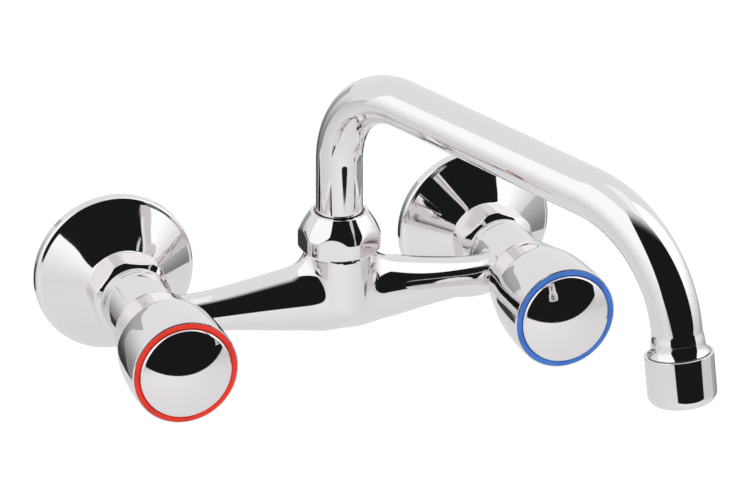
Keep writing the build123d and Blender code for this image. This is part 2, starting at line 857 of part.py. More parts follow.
# ---- Sub-parts --------------------------------------------------------------------------
def main():
    """Writes every sub-part."""
    os.makedirs("parts", exist_ok=True)
    save("bridge_body", bridge_body())
    save("spout_nut", on_spout(spout_nut()))
    save("glide_washer", on_spout(glide_washer()))
    save("thrust_ring", on_spout(thrust_ring()))
    save("spout_tail", on_spout(spout_tail()))
    save("spout_o_rings", *[on_spout(seal) for seal in tail_seals()])
    save("spout_tube", spout_tube())
    save("aerator_collar", outlet_plane() * aerator_collar())
    save("aerator_housing", outlet_plane() * aerator_housing())
    save("aerator_gasket", outlet_plane() * aerator_gasket())
    save("aerator_insert", outlet_plane() * aerator_insert())
    save("aerator_mesh", outlet_plane() * aerator_mesh())
    valve_pieces = {
        "wall_flange": wall_flange,
        "eccentric_union": eccentric_union,
        "inlet_washer": inlet_washer,
        "tailpiece": tailpiece,
        "seat_washer": seat_washer,
        "washer_screw": washer_screw,
        "jumper": jumper,
        "bonnet_gasket": bonnet_gasket_ring,
        "bonnet": bonnet,
        "spindle": spindle,
        "circlip": circlip,
        "handle": handle,
        "index_ring": index_ring,
        "cap": cap,
        "handle_screw": handle_screw,
    }
    for name, side in sides.items():
        for piece, make in valve_pieces.items():
            save(f"{name}_{piece}", on_valve(side, make()))
        save(f"{name}_union_nut", on_valve(side, union_nut(nut_turns[name])))
        save(f"{name}_spindle_o_rings", *[on_valve(side, seal) for seal in spindle_seals()])


main()
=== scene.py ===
import math

import bmesh
import bpy
import numpy as np
from mathutils import Matrix, Vector


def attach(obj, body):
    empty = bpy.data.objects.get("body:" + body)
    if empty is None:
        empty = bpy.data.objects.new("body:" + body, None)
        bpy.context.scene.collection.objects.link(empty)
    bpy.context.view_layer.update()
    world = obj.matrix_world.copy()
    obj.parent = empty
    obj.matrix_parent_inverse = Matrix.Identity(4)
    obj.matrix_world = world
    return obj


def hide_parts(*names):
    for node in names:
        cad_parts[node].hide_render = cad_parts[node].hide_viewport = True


# A wall-mounted two-handle kitchen mixer in polished chrome, dressed on its CAD bodies.
#
# Shapes are worked out in millimetres in the CAD's own frame: the wall is the plane y = 0, the
# user stands towards -Y, +Z is up and +X is the cold side. Each shape is a grid of points, and
# `skin` turns it into a mesh in metres. Along a valve, depth is the distance from the wall.

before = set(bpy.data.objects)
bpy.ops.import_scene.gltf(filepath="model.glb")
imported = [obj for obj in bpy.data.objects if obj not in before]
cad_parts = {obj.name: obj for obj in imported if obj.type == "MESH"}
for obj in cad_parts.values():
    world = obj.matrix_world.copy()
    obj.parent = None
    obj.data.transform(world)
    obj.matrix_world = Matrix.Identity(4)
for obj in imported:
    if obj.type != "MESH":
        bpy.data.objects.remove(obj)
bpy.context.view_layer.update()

# ---- Sizes in mm, angles in degrees -----------------------------------------------------
# They are the CAD's, apart from those that a comment calls finer: there the solids only come
# near to the real shape. Inside the bridge the skin is plainer, because nothing shows there.
VALVE_PITCH = 150.0
SPOUT_DISTANCE = 53.4
SPOUT_SWING = 24.5
SIDES = {"hot": -1, "cold": 1}

CONNECTOR_OFFSET = 8.0
CONNECTOR_BEND = 11.0
CONNECTOR_FRONT = 24.5
CONNECTOR_HOLE = 12.69
WALL_BORE = 7.5
UNION_RADIUS = 12.64
UNION_BORE = 8.5
# The pipe thread in the wall is finer: the CAD has a plain cylinder.
WALL_THREAD_LENGTH = 14.0
WALL_THREAD_RADIUS = 10.4775
WALL_THREAD_PITCH = 1.814
WALL_THREAD_DEPTH = 1.162
WALL_THREAD_FADE = 1.5 * WALL_THREAD_PITCH
WALL_THREAD_CHAMFER = 1.3

# The cone's height and curve are finer, and so is the short neck behind the nut. The curve
# passes through two points, given as shares of its reach and of its rise.
FLANGE_RADIUS = 31.8
FLANGE_EDGE = 1.6
FLANGE_SHEET = 1.4
FLANGE_FACE = 4.4
FLANGE_NECK = 14.4
FLANGE_NECK_STEP = 0.4
FLANGE_NECK_INSIDE = 13.8
FLANGE_SHOULDER = 15.7
FLANGE_SHAPE = ((0.66, 0.345), (0.33, 0.68))

NUT_FLATS = 29.5
NUT_CORNER = 15.9
NUT_FACE = 14.2
NUT_CHAMFER = 30.0
# The union nut's front face is finer.
UNION_NUT_BACK = 18.4
UNION_NUT_FRONT = 31.0
UNION_NUT_FACE = 13.3
UNION_NUT_HOLE = 10.0
UNION_NUT_LIP = 2.0
UNION_NUT_TURNS = {"hot": -10.0, "cold": -20.0}

# The barrels' back is finer: a low collar reaches to the union nut.
BARREL_RADIUS = 13.4
BARREL_COLLAR = 13.6
BARREL_BACK = 30.98
BARREL_FRONT = 57.05
BARREL_INLET = 9.65
BARREL_BORE = 9.95
SEAT_BACK = 38.8
SEAT_FRONT = 41.5
SEAT_HOLE = 5.5

# The arms' depth, the hub's foot and all three roundings are finer. The threaded spigot on top
# is a ring of its own, sunk a little into the hub.
ARM_END_RADIUS = 7.4
ARM_MIDDLE_RADIUS = 14.2
ARM_MIDDLE_DEPTH = 10.4
ARM_BOW = 4.2
ARM_RISE = 2.4
ARM_REACH = VALVE_PITCH / 2 - BARREL_RADIUS
HUB_RADIUS = 13.2
HUB_SHOULDER = 21.0
HUB_BOTTOM = -8.5
HUB_ROUND = 9.0
HUB_BLEND = 9.0
BARREL_BLEND = 2.2
HUB_BORE = 8.0
HUB_THREAD_RADIUS = 12.6
HUB_THREAD_BOTTOM = 20.0
HUB_THREAD_TOP = 26.6

SPOUT_NUT_BOTTOM = 21.05
SPOUT_NUT_STEP = 26.7
SPOUT_NUT_SHOULDER = 27.8
SPOUT_NUT_TOP = 36.6
SPOUT_NUT_THREAD = 12.65
SPOUT_NUT_RECESS = 11.8
SPOUT_NUT_CROWN = 11.2
SPOUT_NUT_HOLE = 9.7
SPOUT_NUT_LIP = 1.9
SPOUT_NUT_TURN = -27.0

# Each bend is given by the radius of the centre line.
TUBE_RADIUS = 9.0
TUBE_START = 28.25
RISER_TOP = 57.5
FIRST_BEND = 31.5
RUN_SLOPE = 4.1
RUN_LENGTH = 94.0
SECOND_BEND = 46.6
SECOND_TURN = 76.4
TUBE_END = 8.2
TUBE_END_RADIUS = 9.5

# Along the flow, from the lip of the end piece. Its flare is finer: it carries on the tube's.
COLLAR_BACK = -7.8
COLLAR_START = -4.5
COLLAR_FRONT = 6.5
COLLAR_BORE = 7.4
COLLAR_THREAD = 10.7
COLLAR_LIP = 11.0
HOUSING_RADIUS = 12.3
HOUSING_LENGTH = 18.2
HOUSING_EDGE = 3.8
HOUSING_LIP = 11.4
HOUSING_LIP_DEPTH = 1.2
HOUSING_THREAD = 10.75
HOUSING_CHAMBER = 10.3
HOUSING_LEDGE = 16.2
HOUSING_MOUTH = 8.6

HANDLE_BACK = 57.55
HANDLE_CONE = 19.0
HANDLE_FRONT = 99.05
HANDLE_MOUTH = 12.8
HANDLE_HOLLOW = 17.5
SOCKET_BACK = 71.9
SOCKET_RADIUS = 7.0
SPLINE_RADIUS = 4.05
WEB_BACK = 79.95
WEB_FRONT = 82.9
SCREW_HOLE = 2.2
# The ring's hole and the cap's side, edge and dome are finer.
RING_BACK = 96.95
RING_FRONT = 99.45
RING_SEAT = 19.65
RING_RADIUS = 19.6
RING_HOLE = 17.7
CAP_SEAT = 15.95
CAP_PLUG = 15.9
CAP_PLUG_LENGTH = 8.0
CAP_HOLLOW = 14.6
CAP_SHEET = 1.3
CAP_RADIUS = 17.65
CAP_EDGE = 1.7
CAP_SINK = 0.5
DOME_RADIUS = 38.0


# ---- Camera -----------------------------------------------------------------------------
# Solved from the outlines in the photograph: azimuth, elevation and roll in degrees, the
# distance of the frame's origin along the view in mm, the focal length in pixels, and the
# pixel of the origin in the 750 x 500 picture.
CAMERA_AZIMUTH = -19.758
CAMERA_ELEVATION = 23.483
CAMERA_ROLL = 0.444
CAMERA_DISTANCE = 1406.53
CAMERA_FOCAL = 3545.88
ORIGIN_PIXEL = (294.984, 245.105)
PICTURE = (750, 500)


def add_camera():
    """Camera at the photograph's viewpoint, with no shift and no depth of field.

    It stands aside from the frame's origin by as much as puts the origin on its own pixel.
    """
    azimuth, elevation, roll = np.radians([CAMERA_AZIMUTH, CAMERA_ELEVATION, CAMERA_ROLL])
    forward = np.array([
        -math.sin(azimuth) * math.cos(elevation),
        math.cos(azimuth) * math.cos(elevation),
        -math.sin(elevation),
    ])
    level = np.array([math.cos(azimuth), math.sin(azimuth), 0.0])
    upright = np.cross(level, forward)
    right = math.cos(roll) * level + math.sin(roll) * upright
    up = math.cos(roll) * upright - math.sin(roll) * level
    across = (ORIGIN_PIXEL[0] - PICTURE[0] / 2) * CAMERA_DISTANCE / CAMERA_FOCAL
    down = (ORIGIN_PIXEL[1] - PICTURE[1] / 2) * CAMERA_DISTANCE / CAMERA_FOCAL
    place = -(across * right - down * up + CAMERA_DISTANCE * forward) / 1000

    lens = bpy.data.cameras.new("camera")
    lens.sensor_width = 36
    lens.lens = CAMERA_FOCAL / PICTURE[0] * lens.sensor_width
    lens.clip_start = 0.01
    lens.clip_end = 100
    camera = bpy.data.objects.new("camera", lens)
    bpy.context.scene.collection.objects.link(camera)
    turn = np.eye(4)
    turn[:3, 0], turn[:3, 1], turn[:3, 2], turn[:3, 3] = right, up, -forward, place
    camera.matrix_world = Matrix(turn.tolist())
    bpy.context.scene.camera = camera


add_camera()


# ---- Materials --------------------------------------------------------------------------
def srgb(code):
    """Linear colour of an sRGB hex value such as "C8C8CC"."""
    value = np.array([int(code[k:k + 2], 16) for k in (0, 2, 4)]) / 255
    linear = np.where(value <= 0.04045, value / 12.92, ((value + 0.055) / 1.055) ** 2.4)
    return (*linear.tolist(), 1.0)


def add(tree, kind, links=(), **settings):
    """Adds one node. Settings name its properties or its sockets; links feed its sockets."""
    node = tree.nodes.new(kind)
    for name, value in settings.items():
        if hasattr(node, name):
            setattr(node, name, value)
        else:
            node.inputs[name.replace("_", " ")].default_value = value
    for socket, source in links:
        tree.links.new(source, node.inputs[socket])
    return node


def finish(name, colour, roughness, metallic=0.0):
    """New material with a Principled surface, and the object's coordinates to build on."""
    material = bpy.data.materials.new(name)
    material.use_nodes = True
    tree = material.node_tree
    surface = tree.nodes["Principled BSDF"]
    surface.inputs["Base Color"].default_value = srgb(colour)
    surface.inputs["Roughness"].default_value = roughness
    surface.inputs["Metallic"].default_value = metallic
    return material, tree, surface, add(tree, "ShaderNodeTexCoord").outputs["Object"]


def plated(name, wave_size, wave_depth, film_size=26.0):
    """Nickel and bright chrome over a buffed base metal, sizes in mm.

    The plating copies the base: buffing leaves waves a few thousandths of a millimetre deep,
    which bend long reflections slightly. A wiped film of water marks makes the mirror a
    little duller in soft patches.
    """
    material, tree, surface, place = finish(name, "E6E3E5", 0.03, 1.0)
    wave = add(tree, "ShaderNodeTexNoise", [("Vector", place)], Scale=1000 / wave_size,
               Detail=1.0)
    bump = add(tree, "ShaderNodeBump", [("Height", wave.outputs["Fac"])],
               Distance=wave_depth / 1000)
    film = add(tree, "ShaderNodeTexNoise", [("Vector", place)], Scale=1000 / film_size,
               Detail=4.0, Roughness=0.6)
    dull = add(tree, "ShaderNodeMapRange", [("Value", film.outputs["Fac"])], From_Min=0.25,
               From_Max=0.75, To_Min=0.02, To_Max=0.055)
    tree.links.new(bump.outputs["Normal"], surface.inputs["Normal"])
    tree.links.new(dull.outputs["Result"], surface.inputs["Roughness"])
    return material


def moulded(name, colour, shade):
    """Injection-moulded ABS, through-coloured.

    The tool's fine spark texture breaks up the gloss, and the colour drifts very little from
    place to place. The texture's real grain is 0.2 mm; it is drawn at 0.5 mm so that it shows.
    """
    grain_size, grain_depth, drift_size = 0.5, 0.006, 9.0
    material, tree, surface, place = finish(name, colour, 0.32)
    drift = add(tree, "ShaderNodeTexNoise", [("Vector", place)], Scale=1000 / drift_size,
                Detail=2.0)
    colours = add(tree, "ShaderNodeValToRGB", [("Fac", drift.outputs["Fac"])])
    colours.color_ramp.elements[0].color = srgb(shade)
    colours.color_ramp.elements[0].position = 0.3
    colours.color_ramp.elements[1].color = srgb(colour)
    colours.color_ramp.elements[1].position = 0.6
    grain = add(tree, "ShaderNodeTexNoise", [("Vector", place)], Scale=1000 / grain_size,
                Detail=1.0)
    bump = add(tree, "ShaderNodeBump", [("Height", grain.outputs["Fac"])],
               Distance=grain_depth / 1000)
    gloss = add(tree, "ShaderNodeMapRange", [("Value", grain.outputs["Fac"])], From_Min=0.25,
                From_Max=0.75, To_Min=0.26, To_Max=0.4)
    tree.links.new(colours.outputs["Color"], surface.inputs["Base Color"])
    tree.links.new(bump.outputs["Normal"], surface.inputs["Normal"])
    tree.links.new(gloss.outputs["Result"], surface.inputs["Roughness"])
    return material


def machined(name, colour, shade, feed, direction):
    """Bare metal turned on a lathe, then left to tarnish a little.

    The tool leaves one groove for each turn, so the grooves follow the axis at the feed, in
    mm: a wave texture of scale 1 repeats every pi / 10 metres. Handling and air leave darker,
    duller patches about 7 mm wide.
    """
    patch_size, groove_depth = 7.0, 0.008
    material, tree, surface, place = finish(name, colour, 0.28, 1.0)
    grooves = add(tree, "ShaderNodeTexWave", [("Vector", place)], wave_type="BANDS",
                  bands_direction=direction, Scale=1000 / feed * math.pi / 10)
    bump = add(tree, "ShaderNodeBump", [("Height", grooves.outputs["Fac"])],
               Distance=groove_depth / 1000)
    tarnish = add(tree, "ShaderNodeTexNoise", [("Vector", place)], Scale=1000 / patch_size,
                  Detail=5.0, Roughness=0.6)
    colours = add(tree, "ShaderNodeValToRGB", [("Fac", tarnish.outputs["Fac"])])
    colours.color_ramp.elements[0].color = srgb(shade)
    colours.color_ramp.elements[0].position = 0.35
    colours.color_ramp.elements[1].color = srgb(colour)
    colours.color_ramp.elements[1].position = 0.6
    gloss = add(tree, "ShaderNodeMapRange", [("Value", tarnish.outputs["Fac"])], From_Min=0.25,
                From_Max=0.75, To_Min=0.38, To_Max=0.2)
    tree.links.new(colours.outputs["Color"], surface.inputs["Base Color"])
    tree.links.new(bump.outputs["Normal"], surface.inputs["Normal"])
    tree.links.new(gloss.outputs["Result"], surface.inputs["Roughness"])
    return material


def pressed(name, colour, shade, roughness, grain_size, grain_depth, fleck_size):
    """Rubber, fibre or nylon, pressed or moulded, sizes in mm.

    The mould or the fibres give it a grain that also breaks up the gloss, and the filler
    shows as flecks of a second colour.
    """
    material, tree, surface, place = finish(name, colour, roughness)
    fleck = add(tree, "ShaderNodeTexNoise", [("Vector", place)], Scale=1000 / fleck_size,
                Detail=6.0, Roughness=0.7)
    colours = add(tree, "ShaderNodeValToRGB", [("Fac", fleck.outputs["Fac"])])
    colours.color_ramp.elements[0].color = srgb(shade)
    colours.color_ramp.elements[0].position = 0.38
    colours.color_ramp.elements[1].color = srgb(colour)
    colours.color_ramp.elements[1].position = 0.62
    grain = add(tree, "ShaderNodeTexNoise", [("Vector", place)], Scale=1000 / grain_size,
                Detail=3.0)
    bump = add(tree, "ShaderNodeBump", [("Height", grain.outputs["Fac"])],
               Distance=grain_depth / 1000)
    gloss = add(tree, "ShaderNodeMapRange", [("Value", grain.outputs["Fac"])], From_Min=0.25,
                From_Max=0.75, To_Min=roughness - 0.06, To_Max=roughness + 0.08)
    tree.links.new(colours.outputs["Color"], surface.inputs["Base Color"])
    tree.links.new(bump.outputs["Normal"], surface.inputs["Normal"])
    tree.links.new(gloss.outputs["Result"], surface.inputs["Roughness"])
    return material


# Cast brass, ground and buffed: the waves of hand buffing are the shortest and deepest.
CAST_CHROME = plated("polished_chrome_on_cast_brass", 14.0, 0.006)
# Drawn tube is the smoothest of all, with long shallow waves from drawing and bending.
TUBE_CHROME = plated("polished_chrome_on_drawn_tube", 22.0, 0.003)
# Pressed sheet keeps slight flow waves round the cone.
PRESSED_CHROME = plated("bright_chrome_on_pressed_brass", 16.0, 0.012)
# Zinc die castings are smooth from the tool, and buffed only lightly.
HANDLE_CHROME = plated("bright_chrome_on_zinc_die_casting", 20.0, 0.003)
HOT_RED = moulded("red_moulded_abs", "DE2400", "C61E00")
COLD_BLUE = moulded("blue_moulded_abs", "3872CA", "2C62B6")
# Grooves at a feed of 0.15 mm would be too fine to see, so they are drawn at 0.5 mm.
VALVE_BRASS = machined("turned_brass_along_the_valve", "DDB96A", "B08C48", 0.5, "Y")
SPOUT_BRASS = machined("turned_brass_up_the_spout", "DDB96A", "B08C48", 0.5, "Z")
# Stainless screws and clips stay bright; their grooves are drawn at 0.3 mm.
STAINLESS = machined("turned_stainless_steel", "C9C8C5", "AFADA9", 0.3, "Y")
# EPDM rubber: matt black with a fine bloom.
RUBBER = pressed("moulded_epdm_rubber", "232324", "1A1A1B", 0.55, 0.4, 0.01, 2.5)
# Vulcanised fibre: brick red paper fibres pressed hard, with a dry, mottled face.
FIBRE = pressed("pressed_vulcanised_fibre", "9C4634", "7E3427", 0.75, 0.6, 0.03, 1.2)
# Nylon and acetal from the mould: milky, half gloss, almost even.
NYLON = pressed("moulded_white_nylon", "ECE9E1", "E2DED4", 0.38, 0.8, 0.006, 5.0)
ACETAL = pressed("moulded_grey_acetal", "C9CDD1", "BEC2C7", 0.34, 0.7, 0.005, 5.0)

BARE_FINISHES = {
    "raw_brass": VALVE_BRASS,
    "steel": STAINLESS,
    "rubber": RUBBER,
    "fibre": FIBRE,
    "white_nylon": NYLON,
    "insert_plastic": ACETAL,
}
for name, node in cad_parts.items():
    for holder in node.material_slots:
        if name == "spout_tail":
            holder.material = SPOUT_BRASS
        elif holder.material.name in BARE_FINISHES:
            holder.material = BARE_FINISHES[holder.material.name]


# ---- Outlines ---------------------------------------------------------------------------
def through(points, spacing=0.5):
    """Smooth curve through (radius, depth) points.

    A natural cubic spline on the chord lengths: between two points each coordinate is a cubic
    whose second derivative runs straight from one point to the next and is zero at the ends.
    """
    points = np.array(points, float)
    chord = np.linalg.norm(np.diff(points, axis=0), axis=1)
    knots = np.concatenate([[0], np.cumsum(chord)])
    count = len(points)
    system = np.eye(count)
    right = np.zeros((count, 2))
    inner = np.arange(1, count - 1)
    system[inner, inner - 1] = chord[:-1]
    system[inner, inner] = 2 * (chord[:-1] + chord[1:])
    system[inner, inner + 1] = chord[1:]
    slope = np.diff(points, axis=0) / chord[:, None]
    right[inner] = 6 * np.diff(slope, axis=0)
    bend = np.linalg.solve(system, right)
    along = np.linspace(0, knots[-1], max(8, int(knots[-1] / spacing)) + 1)
    k = np.clip(np.searchsorted(knots, along, side="right") - 1, 0, count - 2)
    a = ((knots[k + 1] - along) / chord[k])[:, None]
    b = 1 - a
    square = (chord[k] ** 2)[:, None] / 6
    return a * points[k] + b * points[k + 1] + square * (
        (a**3 - a) * bend[k] + (b**3 - b) * bend[k + 1]
    )


def outline(*items, spacing=1.2, closed=True):
    """Outline of a turned piece from (radius, depth, rounding) corners and ready-made curves.

    A corner with a rounding is cut back by that length on both sides and bridged by the
    quadratic curve that has the corner as its control point. Long straight runs are divided,
    with one point close to each end, so that the shading of a rounding stays in it.
    """
    long_run, near_end = 0.6, 0.12
    first = [item[0] if isinstance(item, np.ndarray) else np.array(item[:2]) for item in items]
    last = [item[-1] if isinstance(item, np.ndarray) else np.array(item[:2]) for item in items]
    t = np.linspace(0, 1, 9)[:, None]
    runs = []
    for k, item in enumerate(items):
        if isinstance(item, np.ndarray):
            runs.append(item)
        elif len(item) == 2:
            runs.append(np.array([item], float))
        else:
            corner = np.array(item[:2])
            back = last[k - 1] - corner
            on = first[(k + 1) % len(items)] - corner
            start = corner + item[2] * back / np.linalg.norm(back)
            end = corner + item[2] * on / np.linalg.norm(on)
            runs.append((1 - t) ** 2 * start + 2 * t * (1 - t) * corner + t**2 * end)
    points = np.vstack(runs + [runs[0][:1]] * closed)
    length = np.linalg.norm(np.diff(points, axis=0), axis=1)
    points = points[np.concatenate([[True], length > 1e-4])]
    length = np.linalg.norm(np.diff(points, axis=0), axis=1)
    reach = np.concatenate([[0], np.cumsum(length)])
    stops = [reach]
    for start, run in zip(reach[:-1], length):
        if run > long_run:
            support = min(near_end, run / 5)
            inside = np.linspace(support, run - support, max(2, int(run / spacing) + 1))
            stops.append(start + inside)
    stops = np.sort(np.concatenate(stops))
    return np.column_stack([np.interp(stops, reach, points[:, k]) for k in (0, 1)])


# ---- Surfaces ---------------------------------------------------------------------------
def valve_place(side):
    """Origin and directions of a valve axis: across, up, and out of the wall."""
    origin = (SIDES[side] * VALVE_PITCH / 2, 0, 0)
    return np.array([origin, (1, 0, 0), (0, 0, 1), (0, -1, 0)], float)


def spout_place():
    """Origin and directions of the swivel axis: across, to the wall, and up."""
    return np.array([(0, -SPOUT_DISTANCE, 0), (1, 0, 0), (0, 1, 0), (0, 0, 1)], float)


def turned(points, place, columns=256):
    """Surface of revolution: each (radius, depth) of the outline goes once round the axis."""
    angle = np.linspace(0, 2 * math.pi, columns + 1)
    radius, depth = points[:, :1, None], points[:, 1:, None]
    circle = np.cos(angle)[None, :, None] * place[1] + np.sin(angle)[None, :, None] * place[2]
    return place[0] + radius * circle + depth * place[3]


def soft_min(a, b, edge):
    """Smaller of two values, rounded off over about `edge` where they are alike.

    Half of what is left of their sum after the root of the squared difference plus edge squared.
    """
    return (a + b - np.sqrt((a - b) ** 2 + edge**2)) / 2


def hexagonal(points, place, turn, columns=540, edge=0.25):
    """Turned outline cut by six flats.

    At each angle the radius is the softened smaller of the outline's own radius and the
    hexagon's, which is half the width across flats over the cosine of the angle from the
    middle of the nearest flat.
    """
    angle = np.linspace(0, 2 * math.pi, columns + 1)
    sixth = math.pi / 3
    off_flat = np.mod(angle - math.radians(turn), sixth) - sixth / 2
    hexagon = NUT_FLATS / 2 / np.cos(off_flat)
    radius = soft_min(points[:, :1], hexagon[None, :], edge)[..., None]
    circle = np.cos(angle)[None, :, None] * place[1] + np.sin(angle)[None, :, None] * place[2]
    return place[0] + radius * circle + points[:, 1:, None] * place[3]


def mesh_of(name, grids, material):
    """Object made from grids of points in mm.

    Quads join neighbouring rows and columns. The seam, where the last column lies on the
    first, and the poles are merged, and every closed shell is turned to face outwards.
    """
    corners, quads, count = [], [], 0
    for points in grids:
        rows, columns = points.shape[:2]
        first = (np.arange(rows - 1)[:, None] * columns + np.arange(columns - 1)).ravel() + count
        quads.append(np.column_stack([first, first + 1, first + columns + 1, first + columns]))
        corners.append(points.reshape(-1, 3) / 1000)
        count += rows * columns
    corners = np.vstack(corners)
    quads = np.vstack(quads)
    mesh = bpy.data.meshes.new(name)
    mesh.vertices.add(len(corners))
    mesh.vertices.foreach_set("co", corners.ravel())
    mesh.loops.add(quads.size)
    mesh.loops.foreach_set("vertex_index", quads.ravel())
    mesh.polygons.add(len(quads))
    mesh.polygons.foreach_set("loop_start", np.arange(0, quads.size, 4))
    mesh.update(calc_edges=True)
    shape = bmesh.new()
    shape.from_mesh(mesh)
    bmesh.ops.remove_doubles(shape, verts=shape.verts, dist=1e-6)
    bmesh.ops.dissolve_degenerate(shape, edges=shape.edges, dist=1e-7)
    bmesh.ops.recalc_face_normals(shape, faces=shape.faces)
    shape.to_mesh(mesh)
    shape.free()
    mesh.shade_smooth()
    mesh.materials.append(material)
    piece = bpy.data.objects.new(name, mesh)
    bpy.context.scene.collection.objects.link(piece)
    return piece


def skin(name, grids, material, body, replaces=()):
    """Piece of the mixer: rides on a body and stands for the CAD nodes that it replaces."""
    piece = mesh_of(name, grids, material)
    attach(piece, body)
    for node in replaces:
        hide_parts(node)
    return piece


# ---- Wall flanges and union nuts --------------------------------------------------------
def wall_flange():
    """Outline of the thin cone: rim, rounded edge, cone, short neck, and its inside.

    The neck steps in from the cone, and runs a little way into the nut so that no gap shows.
    """
    rim = FLANGE_RADIUS - FLANGE_EDGE
    foot = FLANGE_RADIUS - FLANGE_SHEET
    neck = FLANGE_NECK - FLANGE_NECK_STEP
    neck_end = UNION_NUT_BACK + 0.02
    rise = FLANGE_SHOULDER - FLANGE_FACE
    reach = rim - FLANGE_NECK
    middle = [(FLANGE_NECK + a * reach, FLANGE_FACE + b * rise) for a, b in FLANGE_SHAPE]
    behind = [(r - FLANGE_SHEET, h - FLANGE_SHEET) for r, h in reversed(middle)]
    t = np.linspace(0, math.pi / 2, 10)
    edge = np.column_stack([np.cos(t), np.sin(t) - 1]) * FLANGE_EDGE + (rim, FLANGE_FACE)
    front = through([(rim, FLANGE_FACE), *middle, (FLANGE_NECK, FLANGE_SHOULDER)])
    back = through([(CONNECTOR_HOLE, FLANGE_NECK_INSIDE), *behind, (foot, FLANGE_SHEET)])
    return outline(
        (foot, 0),
        (FLANGE_RADIUS, 0, 0.3),
        edge,
        front,
        (neck, FLANGE_SHOULDER + FLANGE_NECK_STEP),
        (neck, neck_end),
        (CONNECTOR_HOLE, neck_end),
        back,
    )


def connector(place, columns=128):
    """Offset connector: threaded pipe in the wall, a bent neck, and the union's plain end.

    Each row is a circle square to the wall. Its centre moves from the wall outlet's axis up to
    the valve's, and its radius from the pipe's to the union's, both along a smooth step over
    the neck. In the wall the radius also carries a rounded pipe thread: a cosine of the depth
    over the pitch plus the angle as a share of a turn. It fades out at the wall, and is cut
    down to a chamfer at the pipe's end.
    """
    back = -WALL_THREAD_LENGTH
    rows_per_turn = 12
    fine = np.linspace(back, 0, int(WALL_THREAD_LENGTH / WALL_THREAD_PITCH * rows_per_turn))
    depth = np.concatenate([fine, np.linspace(0, CONNECTOR_FRONT, 40)[1:]])[:, None]
    angle = np.linspace(0, 2 * math.pi, columns + 1)[None, :]
    step = np.clip(depth / CONNECTOR_BEND, 0, 1)
    step = step * step * (3 - 2 * step)
    turn = depth / WALL_THREAD_PITCH + angle / (2 * math.pi)
    cut = WALL_THREAD_DEPTH / 2 * (1 - np.cos(2 * math.pi * turn))
    cut = cut * np.clip(-depth / WALL_THREAD_FADE, 0, 1)
    chamfer = WALL_THREAD_CHAMFER - (depth - back)
    pipe = WALL_THREAD_RADIUS - np.maximum(cut, chamfer)
    outside = pipe + (UNION_RADIUS - WALL_THREAD_RADIUS) * step
    inside = WALL_BORE + (UNION_BORE - WALL_BORE) * step + 0 * angle
    radius = np.vstack([outside, inside[::-1], outside[:1]])
    depth = np.vstack([depth, depth[::-1], depth[:1]])
    drop = CONNECTOR_OFFSET * (1 - np.vstack([step, step[::-1], step[:1]]))
    across, up = radius * np.cos(angle), radius * np.sin(angle) - drop
    return (place[0] + across[..., None] * place[1] + up[..., None] * place[2]
            + (depth + 0 * angle)[..., None] * place[3])


def union_nut():
    """Outline of the union nut before its flats: bored, with both faces chamfered."""
    back, front = UNION_NUT_BACK, UNION_NUT_FRONT
    slope = math.tan(math.radians(NUT_CHAMFER))
    return outline(
        (CONNECTOR_HOLE, back, 0.2),
        (NUT_FACE, back, 0.15),
        (NUT_CORNER, back + (NUT_CORNER - NUT_FACE) * slope, 0.3),
        (NUT_CORNER, front - (NUT_CORNER - UNION_NUT_FACE) * slope, 0.3),
        (UNION_NUT_FACE, front, 0.15),
        (UNION_NUT_HOLE, front, 0.2),
        (UNION_NUT_HOLE, front - UNION_NUT_LIP),
        (CONNECTOR_HOLE, front - UNION_NUT_LIP),
        spacing=0.5,
    )


for side in SIDES:
    place = valve_place(side)
    skin(f"{side}_flange", [turned(wall_flange(), place, 320)], PRESSED_CHROME, "mixer_body",
         [f"{side}_wall_flange"])
    skin(f"{side}_connector", [connector(place)], VALVE_BRASS, "mixer_body",
         [f"{side}_eccentric_union"])
    skin(f"{side}_nut", [hexagonal(union_nut(), place, UNION_NUT_TURNS[side])], CAST_CHROME,
         "mixer_body", [f"{side}_union_nut"])


# ---- Bridge body ------------------------------------------------------------------------
def arm_section(x):
    """Centre depth, centre height, and the radii outwards and upwards of the arms at x.

    They swell from the ends to the middle as a squared cosine.
    """
    share = np.cos(math.pi / 2 * np.clip(x / ARM_REACH, -1, 1)) ** 2
    deep = ARM_END_RADIUS + (ARM_MIDDLE_DEPTH - ARM_END_RADIUS) * share
    tall = ARM_END_RADIUS + (ARM_MIDDLE_RADIUS - ARM_END_RADIUS) * share
    return -SPOUT_DISTANCE + ARM_BOW * (1 - share), ARM_RISE * share, deep, tall


def blend_union(a, b, reach):
    """Union of two distance fields with a fillet: a quadratic blend where they differ little.

    The reach may be one for each point.
    """
    near = np.clip(reach - np.abs(a - b), 0, None) / reach
    return np.minimum(a, b) - near**2 * reach / 4


